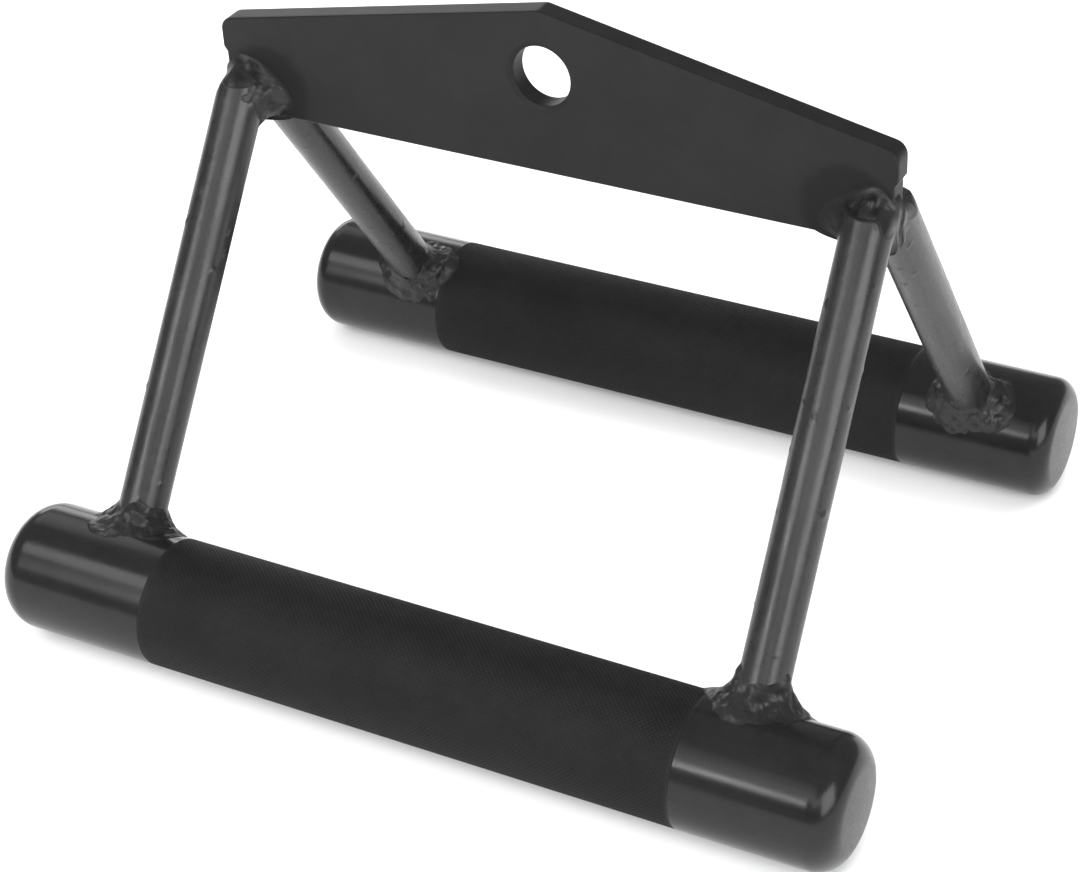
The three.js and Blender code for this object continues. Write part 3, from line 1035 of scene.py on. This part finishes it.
@dataclass
class GripBead(Bead):
    """The bead round a strut's foot on the grip."""

    gaps: Rows = ()
    gap_depth_share: float = 1.6
    up_leg: float = 6.0 * MM
    along_leg: float = 6.6 * MM
    around_leg: float = 5.0 * MM
    leg_share: float = 0.2
    concavity: float = 0.62

    def on_grip(self, flat: Array, radius: float) -> Array:
        """Points round the grip's axis from places on its unrolled surface.

        Args:
            flat: Way along the grip from the foot, and way round it from the strut's lean.
            radius: Distance of the points from the grip's axis.

        Returns:
            Points with a last axis of x, y and z.
        """
        bearing = self.line.lean + flat[:, 1] / LAYOUT.grip_radius
        spoke = [flat[:, 0], radius * np.sin(bearing), radius * np.cos(bearing)]
        return self.line.foot + np.stack(spoke, axis=-1)

    def build(self, paint: Material) -> None:
        """Make the bead from its toe on the strut to its toe on the grip, and dress it."""
        line, angle = self.line, self.angles
        surface, rod = LAYOUT.grip_radius, LAYOUT.strut_radius
        uneven = self.leg_share * self.waver(angle)
        root = line.grip_root(rod, angle, surface)
        up = root + self.up_leg * (1 + uneven)
        root_ring = line.point(rod, angle, root)
        out = root_ring - line.foot
        bearing = np.arctan2(out[:, 1], out[:, 2])
        flat = np.stack([out[:, 0], (bearing - line.lean) * surface], axis=-1)
        way = unit(flat)
        leg = self.along_leg * way[:, 0] ** 2 + self.around_leg * way[:, 1] ** 2
        flat = flat + way * (leg * (1 - uneven))[:, None]
        lip = bells(self.gaps, angle, np.zeros(1)) * MM
        start = line.point(rod - LAYOUT.tuck + lip, angle, up)
        end = self.on_grip(flat, surface - LAYOUT.tuck)
        pull = (start + end) / 2
        pull = pull + self.concavity * (root_ring - pull)
        rings = self.face(start, start + (pull - start) * PULL_SHARE,
                          end + (pull - end) * PULL_SHARE, end)
        self.finish("grip", up - lip * self.gap_depth_share, rings,
                    self.on_grip(flat, surface / 2), 1, paint)


@dataclass
class PlateBead(Bead):
    """The bead round a strut's head on the plate, which wraps its lower edge and its end.

    A station tells, in rod radii, how far the bead reaches inward, up the plate and down the
    strut, and how far it bulges.
    """

    stations: Rows = ()
    swell: float = 0.15 * MM
    ripple_height: float = 0.07 * MM
    clot_height: float = 0.3 * MM
    clot_size: float = 2.6 * MM
    grain_height: float = 0.07 * MM
    leg_share: float = 0.05
    heart_drop: float = 0.6
    calm_wide: float = 62.0
    flush_wide: float = 38.0
    leave_share: float = 0.42
    land_share: float = 0.3

    def outer_share(self, wide: float) -> Array:
        """One on the bead's outer side, falling to nothing over so many degrees to each side."""
        return np.exp(-(np.cos(self.angles / 2) * 2 / math.radians(wide)) ** 2)

    @property
    def liveliness(self) -> Values:
        """Share of the relief that is left: the outer side is calm, flush with the plate's end."""
        return 1.0 - self.outer_share(self.calm_wide)

    def spread(self) -> Array:
        """The stations' values at every column.

        A value is the straight mean of the two nearest stations, less half the product of both
        shares times the mean of the stations' second differences.

        Returns:
            One row to a kind of value, in metres.
        """
        values = np.array(self.stations) * LAYOUT.strut_radius
        at = self.angles / FULL_TURN * len(values)
        index = np.floor(at).astype(int)
        blend = (at - index)[:, None]
        before, here, after, beyond = (values[(index + offset) % len(values)]
                                       for offset in (-1, 0, 1, 2))
        bend = ((before - 2 * here + after) * (1 - blend)
                + (here - 2 * after + beyond) * blend)
        return (here + blend * (after - here) - blend * (1 - blend) * bend / 2).T

    def build(self, paint: Material) -> None:
        """Make the bead from its toe on the strut to its toe on the plate, and dress it.

        The face leaves the strut along its line and lands in the plate's plane, but square to it
        on the outer side, flush with the plate's end.
        """
        line, angle = self.line, self.angles
        rod, face, tuck = LAYOUT.strut_radius, LAYOUT.plate_face, LAYOUT.tuck
        inward, rise, strut_toe, bulge = self.spread()
        uneven = 1 + self.leg_share * self.waver(angle)
        heart = np.array([line.head[0], face, line.head[2] - self.heart_drop * rod])
        down = -strut_toe * uneven
        x = line.head[0] - line.side * inward * uneven
        z = LAYOUT.plate_bottom + rise
        start = line.point(rod - tuck, angle, down)
        end, sunk = (np.stack([x, np.full(self.columns, y), z], axis=-1)
                     for y in (tuck - face, tuck))
        swollen = PULL_SHARE * unit((start + end) / 2 - heart) * bulge[:, None]
        chord = np.linalg.norm(end - start, axis=-1, keepdims=True)
        ahead = unit((heart - end) * np.array([1.0, 0.0, 1.0]))
        flush = self.outer_share(self.flush_wide)[:, None]
        ahead = (1.0 - flush) * ahead - flush * np.array([0.0, 1.0, 0.0])
        rings = self.face(start, start + line.axis * chord * self.leave_share + swollen,
                          end + ahead * chord * self.land_share + swollen, end)
        self.finish("plate", down, rings, sunk, -1, paint)


# Studio


def turned(place: Triple, *turns: tuple[float, str]) -> Matrix:
    """Matrix of a place, turned about its own axes one after the other by so many degrees."""
    matrix = Matrix.Translation(place)
    for degrees, axis in turns:
        matrix = matrix @ Matrix.Rotation(math.radians(degrees), 4, axis)
    return matrix


# The point that the soft boxes face
LIGHT_TARGET = (0.0, 0.0, 0.06)


@dataclass(frozen=True)
class SoftBox:
    """A rectangular soft light that faces the handle, by its bearing from there."""

    name: str
    azimuth: float
    elevation: float
    distance: float
    size: tuple[float, float]
    brightness: float
    mirrored: bool = True

    def build(self) -> None:
        """Hang the light: azimuth 0 is the front and 90 the right, brightness is its radiance."""
        lamp = bpy.data.lights.new(self.name, "AREA")
        lamp.shape = "RECTANGLE"
        lamp.size, lamp.size_y = self.size
        lamp.energy = self.brightness * math.pi * self.size[0] * self.size[1]
        light = add_object(self.name, lamp)
        facing = turned(LIGHT_TARGET, (self.azimuth, "Z"), (90.0 - self.elevation, "X"))
        light.matrix_world = facing @ Matrix.Translation((0.0, 0.0, self.distance))
        light.visible_glossy = self.mirrored


SOFT_BOXES = (
    SoftBox("key_box", -48.0, 43.0, 1.3, (0.42, 0.34), 5.2),
    SoftBox("key_skirt", -36.0, 25.0, 1.3, (0.3, 0.46), 2.1),
    SoftBox("front_strip", -22.0, 25.5, 1.5, (0.5, 0.18), 15.5),
    SoftBox("front_glow", -8.0, 37.0, 1.5, (1.1, 0.42), 2.0),
    SoftBox("front_haze", -10.0, 50.0, 1.5, (1.0, 0.2), 1.0),
    SoftBox("front_right_box", 26.0, 29.0, 1.5, (0.6, 0.3), 2.8),
    SoftBox("right_box", 62.0, 22.0, 1.6, (1.0, 0.9), 5.8),
    SoftBox("back_left_box", -138.0, 10.0, 1.6, (0.8, 0.4), 3.2),
    SoftBox("left_back_glow", -126.0, 38.0, 1.6, (0.7, 0.6), 1.4),
    SoftBox("fill_box", 150.0, 58.0, 2.2, (3.0, 3.0), 2.4, mirrored=False),
    SoftBox("front_fill_box", -20.0, 45.0, 2.2, (2.6, 2.4), 2.3, mirrored=False),
)


@dataclass
class Studio:
    """Pale floor, soft lights and the camera."""

    eye: Triple = (0.26807, -0.47456, 0.40571)
    yaw: float = 27.25
    pitch: float = -34.28
    roll: float = -1.90
    focal_pixels: float = 2603.91
    frame_width: int = 1080
    centre_column: float = 640.0
    sensor: float = 36.0
    floor_half: float = 6.0
    paper_mottle: float = 0.4
    paper_dark: float = 0.86
    paper_pale: float = 0.88
    paper_roughness: float = 0.9
    surroundings_strength: float = 0.3

    def camera(self) -> None:
        """Stand the camera where the handle's edges fall as in the reference view."""
        data = bpy.data.cameras.new("camera")
        data.sensor_width = self.sensor
        data.lens = self.focal_pixels * self.sensor / self.frame_width
        data.shift_x = (self.frame_width / 2 - self.centre_column) / self.frame_width
        camera = add_object("camera", data)
        camera.matrix_world = turned(self.eye, (self.yaw, "Z"), (90.0 + self.pitch, "X"),
                                     (self.roll, "Z"))
        bpy.context.scene.camera = camera

    def floor(self) -> None:
        """Lay the pale floor that the grips rest on."""
        corners = np.array([[-1.0, -1.0, 0.0], [1.0, -1.0, 0.0], [1.0, 1.0, 0.0],
                            [-1.0, 1.0, 0.0]])
        floor = make_mesh("floor", corners * self.floor_half, [np.array([[0, 1, 2, 3]])])
        graph = Graph("floor_paper")
        color = graph.blend(graph.noise(self.paper_mottle, 2.0, 0.5), (self.paper_dark,) * 3,
                            (self.paper_pale,) * 3)
        shader = {"Base Color": color, "Roughness": self.paper_roughness}
        floor.data.materials.append(graph.surface(shader))

    def surroundings(self) -> None:
        """Set the dim pale light that comes from all round, and plain display colours."""
        world = bpy.data.worlds.new("surroundings")
        world.use_nodes = True
        background = world.node_tree.nodes["Background"]
        background.inputs["Color"].default_value = (1.0, 1.0, 1.0, 1.0)
        background.inputs["Strength"].default_value = self.surroundings_strength
        bpy.context.scene.world = world
        bpy.context.scene.view_settings.view_transform = "Standard"

    def build(self) -> None:
        """Set up the whole studio."""
        self.camera()
        self.floor()
        self.surroundings()
        for light in SOFT_BOXES:
            light.build()
        log.info("studio: %d soft boxes", len(SOFT_BOXES))


# Assembly


GRIPS = (
    Grip(Half.FRONT, 6.5 * MM, 1.0 * MM, -66.0 * MM, 113),
    Grip(Half.REAR, 5.0 * MM, 0.6 * MM, -72.1 * MM, 112),
)

GRIP_BEADS = {
    "front_left": {
        "lumps": ((254, 0.37, 0.8, 13), (266, 0.71, 1.0, 10, 0.12), (250, 0.84, 0.9, 8, 0.1),
                  (298, 0.53, -0.9, 16), (325, 0.88, 0.8, 12, 0.1), (355, 0.69, 0.6, 12, 0.1),
                  (285, 0.22, 0.6, 10, 0.1)),
        "gaps": ((316, 0.0, 0.8, 20),),
        "along_leg": 7.2 * MM,
        "around_leg": 6.0 * MM,
    },
    "front_right": {
        "lumps": ((228, 0.18, 0.7, 11), (287, 0.75, 0.9, 13), (328, 0.71, 0.8, 13),
                  (251, 0.41, 0.7, 11), (285, 0.27, -0.6, 12), (202, 0.69, 0.6, 12),
                  (307, 0.45, -0.5, 12)),
        "up_leg": 7.6 * MM,
        "along_leg": 7.8 * MM,
        "around_leg": 6.2 * MM,
    },
    "rear_left": {
        "lumps": ((274, 0.92, 0.6, 12), (352, 0.08, 0.6, 11), (350, 0.51, 0.8, 12),
                  (17, 0.49, 0.7, 10), (40, 0.42, 0.6, 10), (62, 0.37, 0.7, 10),
                  (97, 0.69, 0.7, 12), (138, 0.78, 0.9, 13)),
        "gaps": ((35, 0.0, 0.45, 14), (82, 0.0, 0.45, 14)),
    },
    "rear_right": {
        "lumps": ((22, 0.85, 0.6, 12), (216, 0.57, 0.8, 12), (180, 0.33, 0.8, 12),
                  (140, 0.69, 0.8, 13), (128, 0.22, 0.7, 10), (160, 0.55, -0.6, 9)),
    },
}

# Stations and lumps, and for some beads rows of painted shade along the toe and burns
PLATE_BEADS = {
    "front_left": {
        "stations": ((2.15, 1.15, 1.7, 0.12), (2.1, 0.1, 2.4, -0.2), (0.6, -0.35, 2.5, -0.2),
                     (-0.9, -0.3, 1.6, -0.1), (-0.93, 0.8, 1.1, -0.06), (-0.88, 1.9, 1.0, 0.0),
                     (-0.05, 2.6, 1.0, 0.15), (1.15, 2.15, 1.3, 0.2)),
        "lumps": ((292, 0.75, 0.7, 10), (306, 0.52, 0.6, 11), (320, 0.34, 0.5, 12),
                  (342, 0.45, 0.5, 10), (345, 0.80, 0.6, 12, 0.14), (15, 0.78, 0.8, 14, 0.14)),
        "shades_and_burns": ((325, 0.95, 0.9, 22, 0.1), (5, 0.95, 1.0, 25, 0.12), (40, 0.9, 1.0, 18, 0.3)),
    },
    "front_right": {
        "stations": ((2.3, 1.2, 2.6, -0.05), (2.4, 0.1, 2.8, -0.2), (0.6, -0.3, 2.6, -0.2),
                     (-0.9, -0.3, 1.7, -0.1), (-0.93, 0.8, 1.3, -0.08), (-0.88, 1.9, 1.25, -0.02),
                     (-0.05, 2.5, 1.4, 0.1), (1.15, 2.0, 1.9, 0.05)),
        "lumps": ((265, 0.62, 0.9, 9, 0.1), (251, 0.56, -1.0, 8, 0.12), (247, 0.34, 0.7, 10, 0.1),
                  (285, 0.40, 0.6, 14, 0.2), (317, 0.72, 0.5, 12), (238, 0.75, 0.5, 9, 0.12)),
        "shades_and_burns": ((350, 0.85, 1.3, 42, 0.45), (30, 0.7, 1.2, 35, 0.4), (300, 0.97, 0.8, 30, 0.1)),
        "unrest": 1.2,
    },
    "rear_left": {
        "stations": ((2.2, 1.2, 1.4, 0.05), (2.2, 0.1, 2.0, -0.2), (0.6, -0.3, 2.2, -0.2),
                     (-0.9, -0.3, 1.4, -0.1), (-0.93, 0.8, 1.0, -0.06), (-0.88, 1.9, 0.9, 0.0),
                     (-0.05, 2.55, 0.85, 0.1), (1.15, 2.1, 1.1, 0.1)),
    },
    "rear_right": {
        "stations": ((2.2, 1.2, 1.4, 0.05), (2.2, 0.1, 2.0, -0.2), (0.6, -0.3, 2.2, -0.2),
                     (-0.88, -0.3, 1.9, -0.1), (-0.91, 0.5, 1.9, -0.02), (-0.88, 1.15, 1.8, 0.02),
                     (-0.05, 1.75, 1.3, 0.1), (1.15, 1.8, 1.3, 0.12)),
        "unrest": 0.15,
    },
}


def build_handle() -> None:
    """Build every piece of the handle in order: plate, grips, struts, then the beads."""
    finishes = {paint.name: paint.material() for paint in PAINTS}
    HangerPlate().build(finishes["plate_paint"])
    for grip in GRIPS:
        grip.build(finishes["grip_paint"], finishes["knurl_paint"])
    for line in LINES:
        seed = 2 * line.half.value + line.side + 4
        Strut(line, seed).build(finishes["strut_paint"])
        for kind, beads in ((GripBead, GRIP_BEADS), (PlateBead, PLATE_BEADS)):
            kind(line, seed, **beads[line.name]).build(finishes["bead_paint"])


def main() -> None:
    logging.basicConfig(level=logging.INFO, format="%(message)s")
    build_handle()
    Studio().build()


if __name__ == "__main__":
    main()
